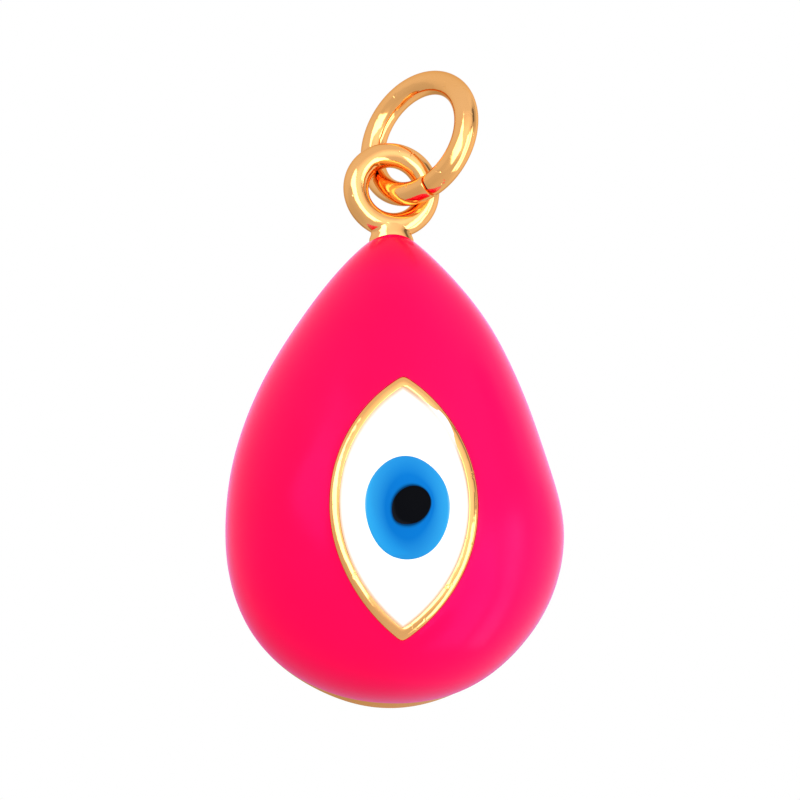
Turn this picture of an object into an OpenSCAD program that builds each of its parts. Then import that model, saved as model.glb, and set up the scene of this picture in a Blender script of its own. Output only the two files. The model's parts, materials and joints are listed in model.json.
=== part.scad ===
// Drop-shaped evil eye charm on a split jump ring.
// Millimetres. +Z is up along the hanging drop, -Y is the enamelled front, +X is to the right.
// The origin is the centre of the jump ring's eye, where a chain or cord passes through.

/* [Drop] */
// Width of the drop across its widest point
drop_w = 11.7; // [10:0.1:13]
// Height of the widest point above the bottom tip
belly_h = 6.05; // [5.8:0.05:6.8]
// Roundness of the belly: 1 is half an ellipse, less is fuller
belly_power = 0.94; // [0.85:0.01:1]
// Height of the neck's flat top above the bottom tip
neck_h = 16.52; // [15.6:0.02:18]
// Width of the neck
neck_w = 1.64; // [1.5:0.02:2]
// Slope of the shoulders where they meet the neck, in degrees
neck_slope = 40; // [35:1:50]
// How straight the flanks run up from the widest point
flank_run = 3.8; // [3:0.1:4.4]
// How straight the shoulders run down from the neck
shoulder_run = 2.8; // [2.2:0.1:3.2]
// How far the front bulges forward of the back plate
dome_d = 3.6; // [3:0.1:4.2]

/* [Metal] */
// Thickness of the flat back plate
plate_t = 0.9; // [0.6:0.05:1.2]
// How far the back plate's edge sits inside the enamel's edge
plate_inset = 0.12; // [0:0.02:0.3]
// Wall thickness of the hollow front shell
shell_t = 0.5; // [0.4:0.05:0.7]
// Thickness of the pink enamel coat on the shell
coat_t = 0.45; // [0.35:0.05:0.6]

/* [Eye] */
// Width of the almond-shaped bezel
eye_w = 5.2; // [4.6:0.1:5.6]
// Height of the bezel from point to point
eye_h = 9.3; // [8.4:0.1:9.6]
// Sideways offset of the eye from the drop's centre line
eye_x = 0.15; // [-0.3:0.05:0.3]
// Width of the bezel's wall
bezel_t = 0.44; // [0.3:0.02:0.5]
// How far the bezel stands proud of the pink enamel
bezel_rise = 0.12; // [0.06:0.02:0.2]
// Width of the iris
iris_w = 2.94; // [2.4:0.02:3.2]
// Height of the iris
iris_h = 3.68; // [3:0.02:4]
// Diameter of the pupil
pupil_d = 1.34; // [1:0.02:1.6]

/* [Rings] */
// Outer diameter of the bail ring
bail_od = 3.44; // [3.4:0.02:3.5]
// Wire diameter of the bail ring
bail_wire = 0.88; // [0.8:0.01:0.9]
// Height of the bail ring's centre above the neck's flat top
bail_rise = 1.93; // [1.88:0.01:1.95]
// Outer diameter of the jump ring
jump_od = 5.07; // [4.97:0.01:5.15]
// Wire diameter of the jump ring
jump_wire = 0.85; // [0.7:0.01:0.87]
// Width of the cut in the jump ring
cut_w = 0.05; // [0.02:0.01:0.2]

/* [Hidden] */
$fn = 64;

// The bail ring's centre, seen from the centre of the jump ring's eye
link = [-0.95, 0.38, -1.82];
// The jump ring's axis leans this far from +Z, towards this heading around +Z
jump_lean = 80;
jump_heading = 225;
// The bail ring is soldered on turned this far about the vertical
bail_turn = 8;
// Where the cut is, as an angle around the jump ring from its lowest point
cut_angle = 21;

half_w = drop_w / 2;
half_neck = neck_w / 2;
bail_h = neck_h + bail_rise;
bail_ring_r = (bail_od - bail_wire) / 2;
jump_ring_r = (jump_od - jump_wire) / 2;
cut_half_angle = asin(cut_w / 2 / jump_ring_r);

// Number of steps over the belly, over the shoulders and across the front
belly_steps = 12;
shoulder_steps = 14;
front_steps = 24;
tip_angle = 2;
// Number of points around the iris
iris_steps = 48;
// How far the front runs on behind the plate's face before it is cut off there
skirt = 0.2;
// How far a cutting shape reaches past what it cuts
clear = 1;

// Share of the coat that is gone where it feathers out at the neck, and how suddenly it thins
neck_thinning = 0.85;
thinning_power = 8;
// The front's depth follows this power of the width above the belly
depth_power = 0.75;

// Depths of the eye's enamels below the surface of the pink enamel
white_sink = 0.06;
iris_sink = 0.03;
pupil_sink = 0;

// The eye's height above the bottom tip, the iris's offset in the eye and the pupil's in the iris
eye_z = 6.235;
iris_shift = [0.1, -0.125];
pupil_shift = [0.14, 0.08];

// The collar is a short band with a cone of solder up to the bail ring
collar_h = 0.25;
solder_top_h = 0.5;
solder_top_r = 0.55;

// The shoulder is a cubic curve from the widest point up to the neck
shoulder = [[half_w, belly_h],
            [half_w, belly_h + flank_run],
            [half_neck + shoulder_run * cos(neck_slope), neck_h - shoulder_run * sin(neck_slope)],
            [half_neck, neck_h]];
function curve(u) = pow(1 - u, 3) * shoulder[0] + 3 * pow(1 - u, 2) * u * shoulder[1]
    + 3 * (1 - u) * u * u * shoulder[2] + pow(u, 3) * shoulder[3];
function slope(u) = pow(1 - u, 2) * (shoulder[1] - shoulder[0])
    + 2 * (1 - u) * u * (shoulder[2] - shoulder[1]) + u * u * (shoulder[3] - shoulder[2]);
function inward(u) = [-slope(u)[1], slope(u)[0]] / norm(slope(u));
function coat_share(u) = 1 - neck_thinning * pow(u, thinning_power);

// One level of the front: half width, height and depth, sunk by coats of enamel plus a distance
function belly_level(a, sink) =
    let (across = pow(sin(a), belly_power))
    let (down = pow(cos(a), belly_power))
    [(half_w - sink) * across, belly_h - (belly_h - sink) * down, (dome_d - sink) * across];
function shoulder_level(u, coats, extra) =
    let (sink = coats * coat_t * coat_share(u) + extra)
    let (p = curve(u) + sink * inward(u))
    let (full_sink = coats * coat_t + extra)
    [p[0], p[1], (dome_d - full_sink) * pow(p[0] / (half_w - full_sink), depth_power)];
function levels(coats, extra) = concat(
    [for (i = [0 : belly_steps - 1])
        belly_level(tip_angle + (90 - tip_angle) * i / belly_steps, coats * coat_t + extra)],
    [for (i = [0 : shoulder_steps]) shoulder_level(i / shoulder_steps, coats, extra)]);

// A level becomes a ring of points: round across the front, straight across the back
function ring(level, back) = concat(
    [[level[0], back, level[1]]],
    [for (i = [0 : front_steps])
        [level[0] * cos(180 * i / front_steps), -level[2] * sin(180 * i / front_steps), level[1]]],
    [[-level[0], back, level[1]]]);

// The bulging front of the drop as a solid, sunk below the pink enamel's surface
module front(coats = 0, extra = 0, back = skirt) {
    stack = levels(coats, extra);
    n = front_steps + 3;
    top = len(stack) - 1;
    points = [for (level = stack) each ring(level, back)];
    sides = [for (j = [0 : top - 1]) for (i = [0 : n - 1])
        let (k = (i + 1) % n)
        each [[j * n + i, (j + 1) * n + k, (j + 1) * n + i], [j * n + i, j * n + k, (j + 1) * n + k]]];
    caps = [[for (i = [n - 1 : -1 : 0]) i], [for (i = [0 : n - 1]) top * n + i]];
    polyhedron(points, concat(sides, caps));
}

// Everything in front of the back plate's face
module in_front() {
    translate([-half_w - clear, -dome_d - clear, -clear])
        cube([drop_w + 2 * clear, dome_d + clear, neck_h + 2 * clear]);
}

// The back plate's outline: inside the enamel's edge by the inset, and as wide as the neck at the top
module outline() {
    right = concat([for (level = levels(0, plate_inset)) [level[0], level[1]]], [[half_neck, neck_h]]);
    left = [for (i = [len(right) - 1 : -1 : 0]) [-right[i][0], right[i][1]]];
    polygon(concat(right, left));
}

// An almond between two arcs, shrunk evenly by a margin
module almond(margin = 0) {
    arc_r = (pow(eye_w / 2, 2) + pow(eye_h / 2, 2)) / eye_w;
    intersection() {
        translate([eye_x - arc_r + eye_w / 2, eye_z]) circle(r = arc_r - margin);
        translate([eye_x + arc_r - eye_w / 2, eye_z]) circle(r = arc_r - margin);
    }
}

module iris_outline() {
    translate([eye_x, eye_z] + iris_shift) polygon([for (i = [0 : iris_steps - 1])
        let (a = 360 * i / iris_steps)
        [iris_w / 2 * cos(a), iris_h / 2 * sin(a)]]);
}

module pupil_outline() {
    translate([eye_x, eye_z] + iris_shift + pupil_shift) circle(d = pupil_d);
}

// Pushes a flat shape straight through the front
module through() {
    rotate([90, 0, 0]) linear_extrude(height = dome_d + clear) children();
}

// A layer of the front between two depths, as a coat laid on the shell
module coat(extra = 0) {
    difference() {
        front(0, extra);
        front(1, 0);
    }
}

// Places a charm piece, drawn from the bottom tip up, under the link of the two rings
module on_charm() {
    translate(link - [0, 0, bail_h]) children();
}

// The bail ring in its place above the neck
module bail() {
    translate([0, 0, bail_h]) rotate([90, 0, bail_turn])
        rotate_extrude(angle = 360) translate([bail_ring_r, 0]) circle(d = bail_wire);
}

module back_plate() {
    color("goldenrod") on_charm()
        translate([0, plate_t, 0]) rotate([90, 0, 0]) linear_extrude(height = plate_t) outline();
}

module front_shell() {
    color("darkgoldenrod") on_charm() intersection() {
        difference() {
            front(1, 0);
            front(1, shell_t, 2 * skirt);
        }
        in_front();
    }
}

module pink_enamel() {
    color("deeppink") on_charm() intersection() {
        difference() {
            coat();
            through() almond();
        }
        in_front();
    }
}

module eye_bezel() {
    color("gold") on_charm() intersection() {
        coat(-bezel_rise);
        through() difference() {
            almond();
            almond(bezel_t);
        }
    }
}

module white_enamel() {
    color("white") on_charm() intersection() {
        coat(white_sink);
        through() difference() {
            almond(bezel_t);
            iris_outline();
        }
    }
}

module blue_iris() {
    color("dodgerblue") on_charm() intersection() {
        coat(iris_sink);
        through() difference() {
            iris_outline();
            pupil_outline();
        }
    }
}

module black_pupil() {
    color("black") on_charm() intersection() {
        coat(pupil_sink);
        through() pupil_outline();
    }
}

module bail_collar() {
    color("gold") on_charm() difference() {
        union() {
            translate([0, 0, neck_h]) cylinder(r = half_neck, h = collar_h);
            translate([0, 0, neck_h + collar_h])
                cylinder(r1 = half_neck, r2 = solder_top_r, h = solder_top_h - collar_h);
        }
        bail();
    }
}

module bail_ring() {
    color("gold") on_charm() bail();
}

module jump_ring() {
    color("gold") rotate([0, jump_lean, jump_heading]) rotate([0, 0, cut_angle + cut_half_angle])
        rotate_extrude(angle = 360 - 2 * cut_half_angle) translate([jump_ring_r, 0]) circle(d = jump_wire);
}

back_plate();
front_shell();
pink_enamel();
eye_bezel();
white_enamel();
blue_iris();
black_pupil();
bail_collar();
bail_ring();
jump_ring();
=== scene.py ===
"""An enamelled drop charm with an inlaid eye, hanging from its split jump ring.

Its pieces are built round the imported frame, in millimetres, and placed in the frame's metres.
"""
import json
import math

import bmesh
import bpy
import numpy as np
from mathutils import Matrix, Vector


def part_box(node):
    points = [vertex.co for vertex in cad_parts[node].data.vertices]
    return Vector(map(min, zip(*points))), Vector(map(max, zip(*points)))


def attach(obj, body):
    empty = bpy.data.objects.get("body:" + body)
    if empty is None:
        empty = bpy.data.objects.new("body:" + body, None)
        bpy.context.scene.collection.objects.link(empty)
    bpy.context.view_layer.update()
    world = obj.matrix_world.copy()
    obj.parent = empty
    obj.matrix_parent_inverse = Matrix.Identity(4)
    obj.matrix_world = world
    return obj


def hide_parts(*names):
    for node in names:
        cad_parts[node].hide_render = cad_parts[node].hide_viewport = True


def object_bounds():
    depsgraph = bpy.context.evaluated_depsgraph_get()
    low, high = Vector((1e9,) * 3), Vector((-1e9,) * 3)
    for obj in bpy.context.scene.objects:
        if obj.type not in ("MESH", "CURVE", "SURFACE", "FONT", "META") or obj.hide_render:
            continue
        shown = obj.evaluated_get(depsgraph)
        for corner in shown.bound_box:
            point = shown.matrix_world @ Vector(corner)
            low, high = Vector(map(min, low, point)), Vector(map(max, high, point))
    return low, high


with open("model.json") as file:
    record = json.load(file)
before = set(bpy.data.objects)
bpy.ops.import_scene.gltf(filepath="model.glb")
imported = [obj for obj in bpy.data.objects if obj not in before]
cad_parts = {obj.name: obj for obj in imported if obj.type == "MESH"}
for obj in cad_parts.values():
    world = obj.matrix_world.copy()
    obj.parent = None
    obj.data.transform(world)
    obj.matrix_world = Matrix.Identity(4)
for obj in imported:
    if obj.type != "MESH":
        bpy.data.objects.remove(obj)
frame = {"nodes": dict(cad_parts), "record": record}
cad_low, cad_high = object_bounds()

MM = 0.001

# ---------------------------------------------------------------- sizes, in millimetres
# Places and outer sizes come from the frame. Most of the rest repeats part.scad.
pink_low, pink_high = (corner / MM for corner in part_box("pink_enamel"))
plate_low, plate_high = (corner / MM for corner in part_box("back_plate"))
eye_low, eye_high = (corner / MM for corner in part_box("eye_bezel"))
white_low, white_high = (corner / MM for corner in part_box("white_enamel"))
iris_low, iris_high = (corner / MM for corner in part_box("blue_iris"))
pupil_low, pupil_high = (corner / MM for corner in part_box("black_pupil"))
bail_low, bail_high = (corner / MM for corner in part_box("bail_ring"))
mounts = {mount["name"]: mount for mount in frame["record"]["mounts"]}

# The charm is drawn with its bottom tip at the origin, in the plane where the enamel meets the plate.
TIP = Vector(((pink_low.x + pink_high.x) / 2, plate_low.y, pink_low.z))
HALF_W = (pink_high.x - pink_low.x) / 2
NECK_H = plate_high.z - pink_low.z
PLATE_T = plate_high.y - plate_low.y
PLATE_INSET = plate_low.z - pink_low.z
BELLY_H = 6.05
BELLY_POWER = 0.94
NECK_R = 0.82
FLANK_RUN = 3.8
SHOULDER_RUN = 2.8
NECK_SLOPE = math.radians(40)
DOME_D = 3.6
DEPTH_POWER = 0.75
# A little less than in CAD, so that the coat stays clear of the shell behind it
COAT_T = 0.42
# How far the enamels in the eye lie below the curve of the pink
EYE_SINK = 0.05
EYE_COAT_T = COAT_T - EYE_SINK

EYE_X = (eye_low.x + eye_high.x) / 2 - TIP.x
EYE_Z = (eye_low.z + eye_high.z) / 2 - TIP.z
EYE_W = eye_high.x - eye_low.x
EYE_H = eye_high.z - eye_low.z
BEZEL_T = (EYE_W - (white_high.x - white_low.x)) / 2
BEZEL_RISE = 0.12
# The eye's outline is two arcs of this radius, with their centres this far beyond its middle
ARC_R = ((EYE_W / 2) ** 2 + (EYE_H / 2) ** 2) / EYE_W
ARC_BACK = ARC_R - EYE_W / 2
# The share of the bezel's width that slopes up from the white to the brim
BRIM = 0.24
IRIS_Z = (iris_low.z + iris_high.z) / 2 - TIP.z
IRIS_W = iris_high.x - iris_low.x
IRIS_H = iris_high.z - iris_low.z
IRIS_X = (iris_low.x + iris_high.x) / 2 - TIP.x
PUPIL_X = (pupil_low.x + pupil_high.x) / 2 - TIP.x
PUPIL_Z = (pupil_low.z + pupil_high.z) / 2 - TIP.z
PUPIL_R = (pupil_high.x - pupil_low.x) / 2

BAIL = (bail_low + bail_high) / 2 - TIP
BAIL_WIRE_R = 0.44
BAIL_R = (bail_high.z - bail_low.z) / 2 - BAIL_WIRE_R
BAIL_TURN = math.radians(8)
JUMP_AXIS = Vector(mounts["chain_eye"]["axis"]).normalized()
JUMP_R = 2.11
JUMP_WIRE_R = 0.425
CUT_ANGLE = math.radians(21)
CUT_GAP = 0.045

# At the neck the enamel's edge is an arch: lower than the neck's top at its sides and higher in its middle
ARCH_DROP = 0.14
ARCH_RISE = 0.11

# Points round each outline, rows of points across the pink and the white, and points round a wire
AROUND = 480
COAT_ROWS = 64
WIRE_SIDES = 48
# How many times the eye's outline is evened out, which blunts its two points
TIP_SOFTENING = 14

# How far the hand-poured enamel swells (+) or dips (-) on the left (-1) and on the right (1), going up
# in even steps
SWELLS = {-1: (0.09, -0.03, -0.07, 0.03, 0.07, -0.05), 1: (-0.19, 0.05, 0.16, -0.06, 0.03, 0.31)}
FIRST_SWELL = 1.2
SWELL_STEP = 2.6
SWELL_REACH = 2.0

# The waves on the poured enamel: their height, how fast they turn along x and along z, and their phase
WAVES = ((0.014, 1.25, 0.7, 0.4), (0.011, 0.9, -1.35, 2.1), (0.007, 2.3, 1.9, 5.0))


# ---------------------------------------------------------------- the drop's shape
def outline():
    """Half the drop's outline as (half width, height), from the bottom tip to the edge of the neck."""
    count = 2400
    angle = np.linspace(0, math.pi / 2, count)
    across = np.sin(angle) ** BELLY_POWER
    down = np.clip(np.cos(angle), 0, 1) ** BELLY_POWER
    belly = np.stack([HALF_W * across, BELLY_H - BELLY_H * down], 1)
    ends = [(HALF_W, BELLY_H),
            (HALF_W, BELLY_H + FLANK_RUN),
            (NECK_R + SHOULDER_RUN * math.cos(NECK_SLOPE), NECK_H - SHOULDER_RUN * math.sin(NECK_SLOPE)),
            (NECK_R, NECK_H)]
    t = np.linspace(0, 1, count)[1:, None]
    weights = [(1 - t) ** 3, 3 * (1 - t) ** 2 * t, 3 * (1 - t) * t * t, t ** 3]
    shoulder = sum(weight * np.array(end) for weight, end in zip(weights, ends))
    return np.vstack([belly, shoulder])


OUTLINE = outline()


def swell(side, z):
    """How much further out than the design the poured edge runs, on the left (-1) or right (1)."""
    total = np.zeros_like(z)
    for where, amounts in SWELLS.items():
        for step, amount in enumerate(amounts):
            away = (z - FIRST_SWELL - step * SWELL_STEP) / SWELL_REACH
            total = total + np.where(side == where, amount * np.exp(-away ** 2), 0)
    return total


def poured(plain, side, z):
    """A half width of the design, as it is once the enamel is poured."""
    return plain + swell(side, z) * plain / HALF_W


def ripple(x, z):
    """The long, slight waves that a poured and levelled coat is left with."""
    return sum(height * np.sin(by_x * x + by_z * z + phase) for height, by_x, by_z, phase in WAVES)


def depth(x, z):
    """How far the front stands forward of the plate."""
    least = 1e-6
    z = np.clip(z, least, NECK_H)
    plain = np.interp(z, OUTLINE[:, 1], OUTLINE[:, 0])
    width = np.maximum(poured(plain, np.where(x < 0, -1, 1), z), least)
    middle = DOME_D * np.where(z < BELLY_H, plain / HALF_W, (plain / HALF_W) ** DEPTH_POWER)
    inside = np.clip(1 - (x / width) ** 2, 0, 1)
    return middle * np.sqrt(inside) + ripple(x, z) * inside


def even_steps(points, count):
    """An open line of points, taken again at even steps of its length."""
    steps = np.concatenate([[0], np.cumsum(np.linalg.norm(np.diff(points, axis=0), axis=1))])
    at = np.linspace(0, steps[-1], count)
    return np.stack([np.interp(at, steps, points[:, k]) for k in range(points.shape[1])], 1)


def drop_loop():
    """The drop's poured outline as a closed loop of (x, z), anticlockwise from the bottom tip."""
    arch_count = 40
    shoulder = OUTLINE[OUTLINE[:, 1] < NECK_H - ARCH_DROP]
    across = np.linspace(1, 0, arch_count)[1:]
    arch_h = NECK_H + ARCH_RISE - (ARCH_RISE + ARCH_DROP) * across ** 2
    plain = np.vstack([shoulder, np.stack([shoulder[-1, 0] * across, arch_h], 1)])
    sides = []
    for side in (1, -1):
        width = poured(plain[:, 0], side, plain[:, 1])
        sides.append(even_steps(np.stack([side * width, plain[:, 1]], 1), AROUND // 2 + 1))
    return np.vstack([sides[0][:-1], sides[1][:0:-1]])


def inset_loop(loop, distance):
    """A closed loop moved evenly inwards."""
    along = np.roll(loop, -1, 0) - np.roll(loop, 1, 0)
    along = along / np.linalg.norm(along, axis=1)[:, None]
    return loop + distance * np.stack([-along[:, 1], along[:, 0]], 1)


def almond_loop(margin=0.0):
    """The eye's outline, moved in by a margin and with its two points blunted, as a closed loop of
    (x, z), anticlockwise from the lower point."""
    r = ARC_R - margin
    reach = math.acos(ARC_BACK / r)
    angle = np.linspace(-reach, reach, AROUND // 2 + 1)
    right = np.stack([EYE_X - ARC_BACK + r * np.cos(angle), EYE_Z + r * np.sin(angle)], 1)
    left = np.stack([EYE_X + ARC_BACK - r * np.cos(angle), EYE_Z + r * np.sin(angle)], 1)
    loop = np.vstack([right[:-1], left[:0:-1]])
    tall = np.ptp(loop[:, 1])
    for _ in range(TIP_SOFTENING):
        loop = (np.roll(loop, 1, 0) + 2 * loop + np.roll(loop, -1, 0)) / 4
    loop[:, 1] = EYE_Z + (loop[:, 1] - EYE_Z) * tall / np.ptp(loop[:, 1])
    return loop


def into_eye(x, z):
    """How far a place is inside the bezel wall's inner edge."""
    right = ARC_R - np.hypot(x - EYE_X + ARC_BACK, z - EYE_Z)
    left = ARC_R - np.hypot(x - EYE_X - ARC_BACK, z - EYE_Z)
    return np.minimum(right, left) - BEZEL_T


def iris_loop():
    """The iris, a slightly uneven oval, as a closed loop of (x, z) from its lowest point."""
    wobble = ((3, 0.008, 0.5), (5, 0.005, 1.8))
    angle = np.linspace(-math.pi / 2, 1.5 * math.pi, AROUND, endpoint=False)
    r = 1 + sum(share * np.cos(waves * angle - phase) for waves, share, phase in wobble)
    x = IRIS_X + IRIS_W / 2 * r * np.cos(angle)
    z = IRIS_Z + IRIS_H / 2 * r * np.sin(angle)
    return np.stack([x, z], 1)


def pupil_loop():
    """The pupil as a closed loop of (x, z) from its lowest point: round, but pulled out to a blunt
    corner at its lower left."""
    corner = math.radians(228)
    pull = 0.12
    reach = 0.42
    oval = 0.075
    angle = np.linspace(-math.pi / 2, 1.5 * math.pi, AROUND, endpoint=False)
    away = (angle - corner + math.pi) % (2 * math.pi) - math.pi
    r = PUPIL_R * (1 + pull * np.exp(-(away / reach) ** 2) + oval * np.cos(2 * away))
    return np.stack([PUPIL_X + r * np.cos(angle), PUPIL_Z + r * np.sin(angle)], 1)


IRIS_LOOP = iris_loop()
PUPIL_LOOP = pupil_loop()


# ---------------------------------------------------------------- making pieces
def place(points):
    """Charm points in millimetres, as an array, to row frame points in metres."""
    return (np.asarray(points) + np.array(TIP)) * MM


def add_mesh(name, points, faces, sharp=40.0, edge=None):
    """A smooth shaded mesh from row frame points in metres, with its sharp edges kept. Edge is a
    number for each point, mostly from 0 inside to 1 at the rim, that its material can use."""
    mesh = bpy.data.meshes.new(name)
    mesh.from_pydata([tuple(p) for p in points], [], [tuple(int(i) for i in f) for f in faces])
    if edge is not None:
        mesh.attributes.new("edge", "FLOAT", "POINT").data.foreach_set("value", edge)
    built = bmesh.new()
    built.from_mesh(mesh)
    bmesh.ops.remove_doubles(built, verts=built.verts, dist=1e-7)
    built.to_mesh(mesh)
    built.free()
    mesh.shade_smooth()
    mesh.set_sharp_from_angle(angle=math.radians(sharp))
    piece = bpy.data.objects.new(name, mesh)
    bpy.context.scene.collection.objects.link(piece)
    return piece


def band(rows, closed=True):
    """Quads between rows of equally many points. Closed joins the last row to the first."""
    n = len(rows[0])
    count = len(rows)
    faces = []
    for j in range(count if closed else count - 1):
        a = j * n
        b = ((j + 1) % count) * n
        for i in range(n):
            k = (i + 1) % n
            faces.append((a + i, a + k, b + k, b + i))
    return np.vstack(rows), faces


def with_depth(loop, forward):
    """A loop of (x, z) points and their distances forward of the plate, as charm points."""
    return np.stack([loop[:, 0], -forward, loop[:, 1]], 1)


def layer(name, inner, outer, shares, front, thickness, rim, ledge=0.0):
    """A closed coat of enamel between two loops, with a row of points at each share of the way: its
    front follows front(x, z, share), it is this thick, and rim(x, z, share) says how near its edge a
    place is. On a ledge this wide, along its outer edge, it goes all the way back to the plate."""
    rows = []
    edges = []
    loops = [(share, inner + (outer - inner) * share) for share in shares]
    for share, loop in loops:
        rows.append(with_depth(loop, front(loop[:, 0], loop[:, 1], share)))
        edges.append(rim(loop[:, 0], loop[:, 1], share))
    for share, loop in reversed(loops):
        back = np.maximum(front(loop[:, 0], loop[:, 1], share) - thickness, 0)
        from_edge = (1 - share) * np.linalg.norm(outer - inner, axis=1)
        rows.append(with_depth(loop, np.where(from_edge < ledge, 0, back)))
        edges.append(np.zeros(len(loop)))
    points, faces = band(rows)
    return add_mesh(name, place(points), faces, edge=np.concatenate(edges))


def disc(name, loop, shares, front, thickness):
    """A closed button of enamel inside a loop, with a domed front and a flat-sided edge."""
    middle = loop.mean(0)
    rows = [middle + (loop - middle) * share for share in shares]
    shells = [with_depth(row, front(row[:, 0], row[:, 1], share)) for share, row in zip(shares, rows)]
    shells.append(shells[-1] + np.array([0, thickness, 0]))
    points, faces = band(shells, closed=False)
    n = len(loop)
    centre = np.array([[middle[0], -front(middle[:1], middle[1:], 0.0)[0], middle[1]]])
    faces += [(len(points), (i + 1) % n, i) for i in range(n)]
    last = len(points) - n
    faces.append(tuple(last + i for i in range(n)))
    return add_mesh(name, place(np.vstack([points, centre])), faces)


# ---------------------------------------------------------------- materials
class Nodes:
    """A short way to build a node tree: new() adds a node, sets its values and joins its inputs."""

    def __init__(self, name):
        self.material = bpy.data.materials.new(name)
        self.material.use_nodes = True
        self.tree = self.material.node_tree
        self.shader = self.tree.nodes["Principled BSDF"]

    def new(self, kind, inputs=None, **settings):
        node = self.tree.nodes.new(kind)
        for key, value in settings.items():
            setattr(node, key, value)
        for key, value in (inputs or {}).items():
            self.join(node.inputs[key], value)
        return node

    def join(self, socket, value):
        if isinstance(value, bpy.types.NodeSocket):
            self.tree.links.new(value, socket)
        else:
            socket.default_value = value

    def set(self, **values):
        for key, value in values.items():
            self.join(self.shader.inputs[key.replace("_", " ")], value)

    def position(self):
        return self.new("ShaderNodeTexCoord").outputs["Object"]

    def noise(self, scale, detail):
        inputs = {"Vector": self.position(), "Scale": scale, "Detail": detail}
        return self.new("ShaderNodeTexNoise", inputs).outputs["Fac"]

    def edge(self):
        return self.new("ShaderNodeAttribute", attribute_name="edge").outputs["Fac"]

    def spread(self, value, low, high, start=0.3, end=0.7):
        node = self.new("ShaderNodeMapRange", {"Value": value, "From Min": start, "From Max": end,
                                               "To Min": low, "To Max": high})
        return node.outputs["Result"]

    def blend(self, share, first, second):
        node = self.new("ShaderNodeMix", {"Factor": share, 6: first, 7: second}, data_type="RGBA")
        return node.outputs[2]

    def bump(self, height, distance, normal=None):
        inputs = {"Height": height, "Distance": distance}
        if normal is not None:
            inputs["Normal"] = normal
        return self.new("ShaderNodeBump", inputs).outputs["Normal"]


def gold(name, worn=0.0, marks=1.0):
    """Polished gold plate, slightly uneven in colour and polish, with soft dents, small pits and a fine
    grain. Worn is how much rougher it is, and marks scales the depth of its dents and pits."""
    m = Nodes(name)
    tone = m.spread(m.noise(scale=420, detail=2.0), 0, 1)
    colour = m.blend(tone, (0.90, 0.445, 0.145, 1), (0.95, 0.495, 0.185, 1))
    rough = m.spread(m.noise(scale=900, detail=4.0), 0.05 + worn, 0.11 + worn)
    dents = m.bump(m.noise(scale=1100, detail=2.0), distance=0.000028 * marks)
    pitted = m.spread(m.noise(scale=2600, detail=3.0), 0, -1, start=0.66, end=0.74)
    pits = m.bump(pitted, distance=0.000012 * marks, normal=dents)
    grain = m.bump(m.noise(scale=9000, detail=2.0), distance=0.0000012, normal=pits)
    tint = (0.74, 0.55, 0.40, 1)
    m.set(Base_Color=colour, Metallic=1.0, Roughness=rough, Normal=grain, Specular_Tint=tint)
    return m.material


def enamel(name, light, deep, rims=(), tint=(1, 1, 1, 1), level=0.5, rough=0.09, sheen=None, painted_side_reflection=None):
    """Resin enamel: pigment that settled a little unevenly under a clear, glassy skin. Rims are
    (colour, start, end) terms that take over as the edge number goes from start to end; for the pink and
    the white they are painted shade, and for the white also a painted reflection of the gold. Painted
    side reflection is the (colour, start, end) that the colour turns to along x, in metres: a painted
    reflection that makes one side look lit differently. Sheen is the (colour, roughness) of the pale
    bloom that a translucent enamel shows at grazing angles."""
    m = Nodes(name)
    flow = m.spread(m.noise(scale=170, detail=3.0), 0, 1)
    colour = m.blend(flow, deep, light)
    # Painted reflection: the colour turns to another tone along x, as if one side were lit differently
    if painted_side_reflection:
        tone, start, end = painted_side_reflection
        along = m.new("ShaderNodeSeparateXYZ", {"Vector": m.position()}).outputs["X"]
        colour = m.blend(m.spread(along, 0, 1, start, end), colour, tone)
    for tone, start, end in rims:
        colour = m.blend(m.spread(m.edge(), 0, 1, start, end), colour, tone)
    gloss = m.spread(m.noise(scale=600, detail=3.0), rough * 0.7, rough * 1.3)
    skin = m.bump(m.noise(scale=520, detail=2.0), distance=0.000006)
    m.set(Base_Color=colour, Roughness=gloss, Normal=skin, Specular_IOR_Level=level, Specular_Tint=tint)
    if sheen:
        bloom, softness = sheen
        m.set(Sheen_Weight=1.0, Sheen_Tint=bloom, Sheen_Roughness=softness)
    return m.material


def brass(name):
    """Bare cast brass, dull, under the enamel."""
    m = Nodes(name)
    grain = m.noise(scale=2500, detail=5.0)
    colour = m.blend(grain, (0.42, 0.27, 0.10, 1), (0.60, 0.41, 0.17, 1))
    rough = m.spread(grain, 0.35, 0.55)
    m.set(Base_Color=colour, Metallic=1.0, Roughness=rough, Normal=m.bump(grain, distance=0.00001))
    return m.material


def floor_paint(name):
    """Pale studio floor with the faintest unevenness."""
    m = Nodes(name)
    colour = m.blend(m.noise(scale=6, detail=2.0), (0.86, 0.86, 0.86, 1), (0.90, 0.90, 0.90, 1))
    m.set(Base_Color=colour, Roughness=0.7)
    return m.material


GOLD = gold("gold_plate")
GOLD_BACK = gold("gold_plate_back", worn=0.08, marks=0.25)
PINK = enamel("pink_resin", (1.0, 0.0028, 0.074, 1), (0.97, 0.0020, 0.062, 1),
              # Painted shade: a darker, redder pink towards the neck, below the collar
              rims=(((0.93, 0.0010, 0.030, 1), 0.1, 1.0),),
              tint=(1.0, 0.04, 0.6, 1), level=0.3, rough=0.2, sheen=((1.0, 0.17, 0.90, 1), 0.33),
              # Painted reflection of the right soft box: the pink turns more magenta towards the right
              painted_side_reflection=((1.0, 0.0024, 0.112, 1), -0.002, 0.005))
# The white's rims are painted shade, warm grey along the bezel, and a painted tan reflection of the gold
# right beside it
WHITE = enamel("white_resin", (0.98, 0.975, 0.965, 1), (0.96, 0.945, 0.93, 1),
               rims=(((0.80, 0.70, 0.64, 1), 0.0, 1.0), ((0.75, 0.42, 0.22, 1), 0.75, 1.0)))
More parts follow.
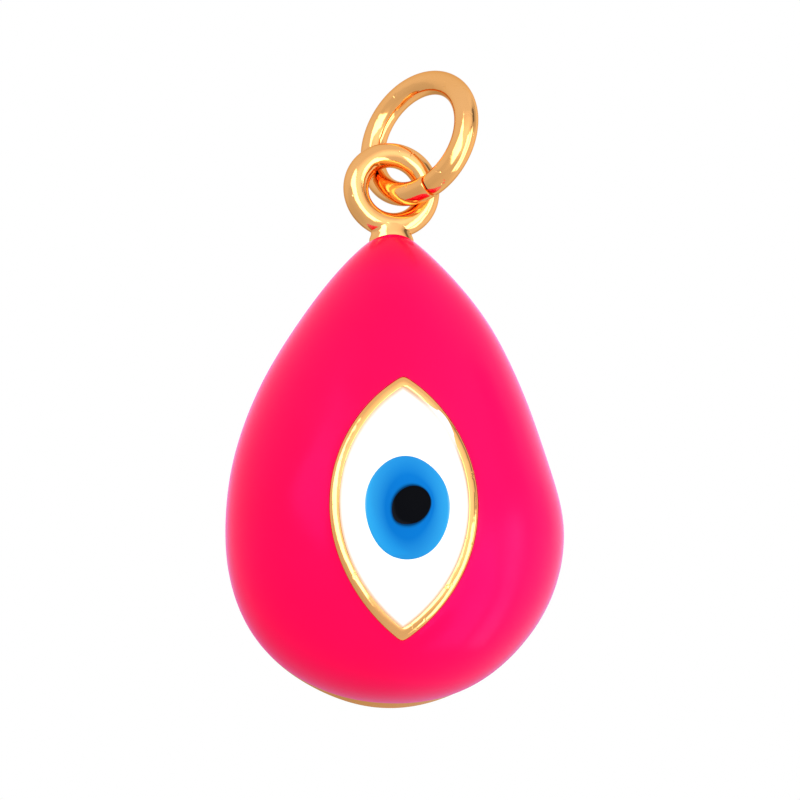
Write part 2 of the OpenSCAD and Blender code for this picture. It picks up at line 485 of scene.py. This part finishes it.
# The blue's edge number goes below 0 beside the pupil, where it is darkest.
BLUE = enamel("blue_resin", (0.0040, 0.168, 0.56, 1), (0.0028, 0.13, 0.47, 1),
              rims=(((0.030, 0.32, 0.66, 1), 0.45, 1.0), ((0.30, 0.58, 0.80, 1), 0.95, 1.05),
                    ((0.0015, 0.03, 0.12, 1), 0.1, -0.4)),
              tint=(0.0, 0.6, 1.0, 1), level=0.25)
BLACK = enamel("black_resin", (0.003, 0.003, 0.003, 1), (0.0015, 0.0015, 0.002, 1),
               tint=(0.6, 0.7, 1.0, 1), level=0.04)
BRASS = brass("bare_brass")


def finish_piece(piece, material, body, slot, *nodes):
    """Gives a piece its material and body, and hides the CAD nodes that it stands for. Its slot is not
    used.
    """
    piece.data.materials.append(material)
    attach(piece, body)
    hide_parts(*nodes)
    return piece


# ---------------------------------------------------------------- the enamels and the bezel
def coat_shares():
    """Shares of the way out for a coat's rows. They crowd towards its edge, where it turns steeply away."""
    return [1 - (1 - even) ** 2 for even in np.linspace(0, 1, COAT_ROWS)]


def make_pink():
    """The pink coat over the whole front. It climbs a little at the bezel, and its colour is darker and
    redder towards the neck: painted shade below the collar.
    """
    lip = 0.05
    reach = 0.05
    fade = 1.8
    under_wall = 0.01

    def front(x, z, share):
        climb = lip * math.exp(-share / reach)
        return depth(x, z) + climb

    # Painted shade below the collar: 1 at the neck, fading out within fade of it
    def rim(x, z, share):
        return np.clip(1 - (NECK_H - z) / fade, 0, 1)

    inner = almond_loop(under_wall)
    piece = layer("pink_enamel_coat", inner, drop_loop(), coat_shares(), front, COAT_T, rim, ledge=COAT_T)
    return finish_piece(piece, PINK, "charm", "pink_enamel", "pink_enamel")


def wall_rise(across):
    """The bezel wall's height over the pink, from its inner edge (0) to its outer edge (1)."""
    foot = -0.05
    crown = 0.05
    top = 0.55
    turn = 0.74
    turn_drop = 0.11
    slope = np.clip(across / BRIM, 0, 1)
    slope = slope * slope * (3 - 2 * slope)
    rounding = crown * ((across - top) / (1 - top)) ** 2
    corner = np.clip((across - turn) / (1 - turn), 0, 1)
    return foot + (BEZEL_RISE - foot - rounding) * slope - turn_drop * (1 - np.sqrt(1 - corner ** 2))


def spill(x, z):
    """How far the white has run over the wall (0 to 1): only at the upper right."""
    middle_x = EYE_X + 0.29 * EYE_W
    middle_z = EYE_Z + 0.325 * EYE_H
    reach = 0.8
    away = np.hypot(x - middle_x, z - middle_z)
    return np.exp(-(away / reach) ** 2)


def make_bezel():
    """The raised gold wall round the eye: it slopes up from the white and rounds over to the pink."""
    count = 40
    crowding = 1.6
    profile = [(0.0, -COAT_T)]
    profile += [(across, wall_rise(across)) for across in 1 - np.linspace(1, 0, count) ** crowding]
    profile.append((1.0, -COAT_T))
    inner = almond_loop(BEZEL_T)
    outer = almond_loop(0.0)
    rows = []
    for across, rise in profile:
        loop = inner + (outer - inner) * across
        rows.append(with_depth(loop, depth(loop[:, 0], loop[:, 1]) + rise))
    points, faces = band(rows)
    piece = add_mesh("eye_bezel_wall", place(points), faces, 50)
    return finish_piece(piece, GOLD, "charm", "gold", "eye_bezel")


def make_white():
    """The white of the eye, hollowed a little between the iris and the wall that it clings to. At the upper
    right it has run over the wall, and there the painted shade along its edge is fainter."""
    overlap = BRIM * BEZEL_T
    cling = 0.12
    fade = 0.45
    under_brim = 0.03
    spill_rise = 0.045
    spill_reach = 0.5
    spill_shade_fade = 0.6
    under_iris = 0.01

    def front(x, z, share):
        from_brim = into_eye(x, z) + overlap
        edge = BEZEL_RISE - under_brim + spill_rise * spill(x, z)
        return depth(x, z) - EYE_SINK + (EYE_SINK + edge) * np.exp(-np.maximum(from_brim, 0) / cling)

    # Painted shade and painted reflection of the gold: how near the bezel wall a place is, less where the
    # white has run over it
    def rim(x, z, share):
        near = np.clip(1 - (into_eye(x, z) + overlap) / fade, 0, 1)
        return near * (1 - spill_shade_fade * spill(x, z))

    wall_in = almond_loop(BEZEL_T)
    inner = IRIS_LOOP - (wall_in - IRIS_LOOP) * under_iris
    over = BRIM + spill_reach * spill(wall_in[:, 0], wall_in[:, 1])
    outer = wall_in + (almond_loop() - wall_in) * over[:, None]
    piece = layer("white_enamel_fill", inner, outer, coat_shares(), front, EYE_COAT_T, rim)
    return finish_piece(piece, WHITE, "charm", "white_enamel", "white_enamel")


def make_iris():
    """The blue drop laid on the white. Its edge rounds over, and is palest at its two sides."""
    rise = 0.03
    roundness = 10
    upright = 0.75
    pupil_fade = 0.1
    under_pupil = 0.02
    count = 30
    crowding = 0.7

    def front(x, z, share):
        return depth(x, z) - EYE_SINK + rise * (1 - share ** roundness)

    def rim(x, z, share):
        from_middle = np.hypot((x - IRIS_X) * 2 / IRIS_W, upright * (z - IRIS_Z) * 2 / IRIS_H)
        return from_middle - math.exp(-share / pupil_fade)

    shares = np.linspace(0, 1, count) ** crowding
    inner = PUPIL_LOOP - (IRIS_LOOP - PUPIL_LOOP) * under_pupil
    piece = layer("blue_iris_drop", inner, IRIS_LOOP, shares, front, EYE_COAT_T, rim)
    return finish_piece(piece, BLUE, "charm", "blue_enamel", "blue_iris")


def make_pupil():
    """The black drop laid on the blue, a little higher. Its edge rounds over."""
    sink = 0.02
    rise = 0.025
    roundness = 6
    shares = np.linspace(0.04, 1, 24)

    def front(x, z, share):
        return depth(x, z) - sink + rise * (1 - share ** roundness)

    piece = disc("black_pupil_drop", PUPIL_LOOP, shares, front, EYE_COAT_T)
    return finish_piece(piece, BLACK, "charm", "black_enamel", "black_pupil")


# ---------------------------------------------------------------- the gold pieces
def make_plate():
    """The flat back plate, with rounded edges, a little smaller than the enamelled front. Its inset
    grows down the belly, but closes at the very bottom and at the neck."""
    bevel = 0.1
    bevel_steps = 10
    back_steps = (0.1, 0.25)
    belly_gain = 0.7
    bottom_loss = 1.55
    bottom_x = -0.2
    bottom_reach = 2.2
    neck_reach = 0.6
    loop = drop_loop()
    turns = np.linspace(0, math.pi / 2, bevel_steps)
    sections = [(0.0, 0.0)]
    sections += [(PLATE_T - bevel + bevel * math.sin(turn), bevel * (1 - math.cos(turn))) for turn in turns]
    sections += [(PLATE_T, bevel + step) for step in back_steps]
    low = np.clip(1 - loop[:, 1] / BELLY_H, 0, 1)
    bottom = np.exp(-((loop[:, 0] - bottom_x) / bottom_reach) ** 2) * low
    neck = np.clip((loop[:, 1] - NECK_H + neck_reach) / neck_reach, 0, 1) ** 2
    inset = PLATE_INSET * (1 + belly_gain * low - bottom_loss * bottom) * (1 - neck)
    rows = []
    for y, more in sections:
        ring = inset_loop(loop, (inset + more)[:, None])
        rows.append(np.stack([ring[:, 0], np.full(len(ring), y), ring[:, 1]], 1))
    points, faces = band(rows, closed=False)
    n = len(loop)
    faces.append(tuple(range(n - 1, -1, -1)))
    last = len(points) - n
    faces.append(tuple(last + i for i in range(n)))
    piece = add_mesh("gold_back_plate", place(points), faces, 35)
    return finish_piece(piece, GOLD_BACK, "charm", "gold", "back_plate")


def torus_point(across, round_wire, wire):
    """A point on the bail ring, from its angle round the ring from the lowest point, its angle round
    the wire from the outside, and a factor on the wire's thickness."""
    r = BAIL_R + wire * BAIL_WIRE_R * math.cos(round_wire)
    side = r * math.sin(across)
    forward = wire * BAIL_WIRE_R * math.sin(round_wire)
    return np.array([BAIL.x + side * math.cos(BAIL_TURN) - forward * math.sin(BAIL_TURN),
                     BAIL.y + side * math.sin(BAIL_TURN) + forward * math.cos(BAIL_TURN),
                     BAIL.z - r * math.cos(across)])


def make_bail():
    """The closed bail ring. Its wire is very slightly uneven, as in a soldered ring."""
    count = 240
    unevenness = 0.012
    turns = [2 * math.pi * i / WIRE_SIDES for i in range(WIRE_SIDES)]
    rows = []
    for k in range(count):
        across = 2 * math.pi * k / count
        thick = 1 + unevenness * math.sin(3 * across + 1)
        rows.append(np.array([torus_point(across, turn, thick) for turn in turns]))
    points, faces = band(rows)
    piece = add_mesh("bail_ring_wire", place(points), faces)
    return finish_piece(piece, GOLD, "charm", "gold", "bail_ring")


def make_collar():
    """The collar on the neck, and the solder that runs up from it on to the bail ring and ends just
    inside the ring's surface."""
    foot_h = -0.15
    band_h = 0.10
    wide_r = 0.78
    deep_r = 0.50
    across_end = 0.46
    round_end = math.radians(95)
    in_wire = 0.99
    run_on = 1.1
    pull = 0.35
    around = 96
    climb_steps = 17
    climb = np.linspace(0, 1, climb_steps + 1)[1:]
    columns = []
    for k in range(around):
        turn = 2 * math.pi * k / around
        foot = np.array([wide_r * math.cos(turn), deep_r * math.sin(turn), NECK_H + foot_h])
        across = across_end * math.cos(turn)
        round_wire = round_end * math.sin(turn)
        top = torus_point(across, round_wire, in_wire)
        beyond = torus_point(run_on * across, run_on * round_wire, in_wire)
        run = beyond - top
        run = run / np.linalg.norm(run)
        start = foot + np.array([0, 0, band_h - foot_h])
        span = np.linalg.norm(top - start)
        a = start + np.array([0, 0, pull * span])
        b = top - run * pull * span
        curve = [(1 - t) ** 3 * start + 3 * (1 - t) ** 2 * t * a + 3 * (1 - t) * t * t * b + t ** 3 * top
                 for t in climb]
        columns.append([foot, start] + curve)
    rows = [np.array([column[j] for column in columns]) for j in range(len(columns[0]))]
    points, faces = band(rows, closed=False)
    faces.append(tuple(range(around - 1, -1, -1)))
    last = len(points) - around
    faces.append(tuple(last + i for i in range(around)))
    piece = add_mesh("bail_collar_solder", place(points), faces, 60)
    return finish_piece(piece, GOLD, "charm", "gold", "bail_collar")


def make_jump_ring():
    """The split jump ring: round wire, its two flat ends almost meeting, one a hair out of line."""
    bevel = 0.05
    bevel_middle = 0.3
    slip = 0.03
    spring = 0.02
    count = 300
    taken_by_bevel = 4
    down = (Vector((0, 0, -1)) - JUMP_AXIS * -JUMP_AXIS.z).normalized()
    side = JUMP_AXIS.cross(down)
    half_cut = CUT_GAP / 2 / JUMP_R
    length = 2 * math.pi - 2 * half_cut
    stations = [(0.0, 1 - bevel / JUMP_WIRE_R),
                (bevel * bevel_middle, 1 - bevel_middle * bevel / JUMP_WIRE_R),
                (bevel, 1.0)]
    start = [(along / JUMP_R, size) for along, size in stations]
    middle = [(length * k / count, 1.0) for k in range(taken_by_bevel, count - taken_by_bevel + 1)]
    end = [(length - along / JUMP_R, size) for along, size in stations[::-1]]
    turns = np.linspace(0, 2 * math.pi, WIRE_SIDES, endpoint=False)
    rows = []
    for along, size in start + middle + end:
        angle = CUT_ANGLE + half_cut + along
        out = down * math.cos(angle) + side * math.sin(angle)
        from_middle = along / length - 0.5
        centre = out * (JUMP_R + spring * from_middle) + JUMP_AXIS * slip * from_middle
        spokes = [out * math.cos(turn) + JUMP_AXIS * math.sin(turn) for turn in turns]
        rows.append(np.array([centre + spoke * JUMP_WIRE_R * size for spoke in spokes]))
    points, faces = band(rows, closed=False)
    faces.append(tuple(range(WIRE_SIDES - 1, -1, -1)))
    last = len(points) - WIRE_SIDES
    faces.append(tuple(last + i for i in range(WIRE_SIDES)))
    piece = add_mesh("jump_ring_wire", points * MM, faces)
    return finish_piece(piece, GOLD, "jump_ring", "gold", "jump_ring")


# ---------------------------------------------------------------- studio
def towards(azimuth, elevation):
    """The direction at an angle to the right of straight in front and an angle up, both in degrees."""
    turn = math.radians(azimuth)
    lift = math.radians(elevation)
    return Vector((math.sin(turn) * math.cos(lift), -math.cos(turn) * math.cos(lift), math.sin(lift)))


def make_camera():
    """A long lens from a little below and to the left of straight on. Its distances are in metres."""
    far = 0.35
    field = 0.02764
    sensor = 36
    aim_right = 0.0003
    aim_up = 0.01048
    back = towards(-5, -15)
    camera = bpy.data.objects.new("camera", bpy.data.cameras.new("camera"))
    bpy.context.scene.collection.objects.link(camera)
    camera.data.sensor_width = sensor
    camera.data.lens = sensor * far / field
    camera.data.clip_start = 0.01
    camera.data.clip_end = 10
    turn = back.to_track_quat("Z", "Y")
    right = turn @ Vector((1, 0, 0))
    up = turn @ Vector((0, 1, 0))
    aim = TIP * MM + right * aim_right + up * aim_up
    camera.location = aim + back * far
    camera.rotation_mode = "QUATERNION"
    camera.rotation_quaternion = turn
    bpy.context.scene.camera = camera


# The white tent's brighter (+) and darker (-) areas: the azimuth and elevation of their middle, how they
# lean, and their half width and half height, all in degrees, then how soft their edges are and how much
# light they add
TENT_AREAS = {
    "left_softbox": (-19, 7, 46, 31, 14, 0.04, 3.0),
    "right_softbox": (56, -18, -12, 18, 30, 0.05, 3.2),
    "right_stand": (58, -14, -12, 1.8, 34, 0.015, -3.4),
    "front_glow": (10, 8, 0, 28, 24, 0.3, 0.6),
    "floor_shade": (0, -60, 0, 80, 50, 0.35, -0.1),
    "left_shade": (-120, -30, 0, 60, 32, 0.35, -0.15),
    "back_glow": (135, 0, 0, 50, 45, 0.3, 0.2),
    "back_shade": (178, -18, 0, 40, 16, 0.2, -0.22),
    "right_shade": (84, 28, 0, 24, 18, 0.15, -0.4),
    "dark_flag": (74, 33, 0, 9, 10, 0.03, -0.4),
}


def make_world():
    """A white tent with soft boxes behind its cloth, and plain white wherever a camera looks past the
    charm."""
    cloth_light = 0.90
    least_light = 0.05
    horizon_soft = 0.02
    world = bpy.data.worlds.new("tent")
    world.use_nodes = True
    bpy.context.scene.world = world
    nodes = world.node_tree.nodes
    links = world.node_tree.links

    def number(kind, operation, *inputs):
        node = nodes.new(kind)
        node.operation = operation
        for socket, value in zip(node.inputs, inputs):
            if isinstance(value, bpy.types.NodeSocket):
                links.new(value, socket)
            else:
                socket.default_value = value
        return node.outputs["Value"]

    def window(value, reach, soft):
        """1 where the value is below reach and 0 above it, with a soft edge."""
        node = nodes.new("ShaderNodeMapRange")
        node.interpolation_type = "SMOOTHSTEP"
        links.new(value, node.inputs["Value"])
        node.inputs["From Min"].default_value = reach + soft
        node.inputs["From Max"].default_value = reach - soft
        return node.outputs["Result"]

    look = nodes.new("ShaderNodeTexCoord").outputs["Generated"]
    total = cloth_light
    for azimuth, elevation, lean, half_w, half_h, soft, light in TENT_AREAS.values():
        centre = towards(azimuth, elevation)
        level = Vector((math.cos(math.radians(azimuth)), math.sin(math.radians(azimuth)), 0))
        rise = level.cross(centre)
        lean = math.radians(lean)
        across = level * math.cos(lean) + rise * math.sin(lean)
        along = rise * math.cos(lean) - level * math.sin(lean)
        behind = number("ShaderNodeVectorMath", "DOT_PRODUCT", look, -centre)
        share = window(behind, 0.0, horizon_soft)
        for axis, half in ((across, half_w), (along, half_h)):
            offset = number("ShaderNodeVectorMath", "DOT_PRODUCT", look, axis)
            distance = number("ShaderNodeMath", "ABSOLUTE", offset)
            inside = window(distance, math.sin(math.radians(half)), soft)
            share = number("ShaderNodeMath", "MULTIPLY", share, inside)
        total = number("ShaderNodeMath", "MULTIPLY_ADD", share, light, total)
    tent = nodes["Background"]
    links.new(number("ShaderNodeMath", "MAXIMUM", total, least_light), tent.inputs["Strength"])
    tent.inputs["Color"].default_value = (1, 1, 1, 1)
    plain = nodes.new("ShaderNodeBackground")
    plain.inputs["Color"].default_value = (1, 1, 1, 1)
    ray = nodes.new("ShaderNodeLightPath")
    mix = nodes.new("ShaderNodeMixShader")
    links.new(ray.outputs["Is Camera Ray"], mix.inputs[0])
    links.new(tent.outputs[0], mix.inputs[1])
    links.new(plain.outputs[0], mix.inputs[2])
    links.new(mix.outputs[0], nodes["World Output"].inputs["Surface"])


def make_floor():
    """A plain pale floor, far enough below the hanging charm for views from underneath, in metres."""
    half = 6.0
    below = 0.42
    level = cad_low.z - below
    corners = [(-half, -half, level), (half, -half, level), (half, half, level), (-half, half, level)]
    floor = add_mesh("studio_floor", corners, [(0, 1, 2, 3)])
    floor.data.materials.append(floor_paint("floor_paint"))
    floor.visible_glossy = False
    floor.visible_diffuse = False


def dress_shell():
    """Gives the hidden CAD dome its bare brass."""
    shell = frame["nodes"]["front_shell"]
    shell.data.materials.clear()
    shell.data.materials.append(BRASS)


make_camera()
make_pink()
make_bezel()
make_white()
make_iris()
make_pupil()
make_plate()
make_bail()
make_collar()
make_jump_ring()
dress_shell()
make_world()
make_floor()
bpy.context.scene.view_settings.view_transform = "Standard"
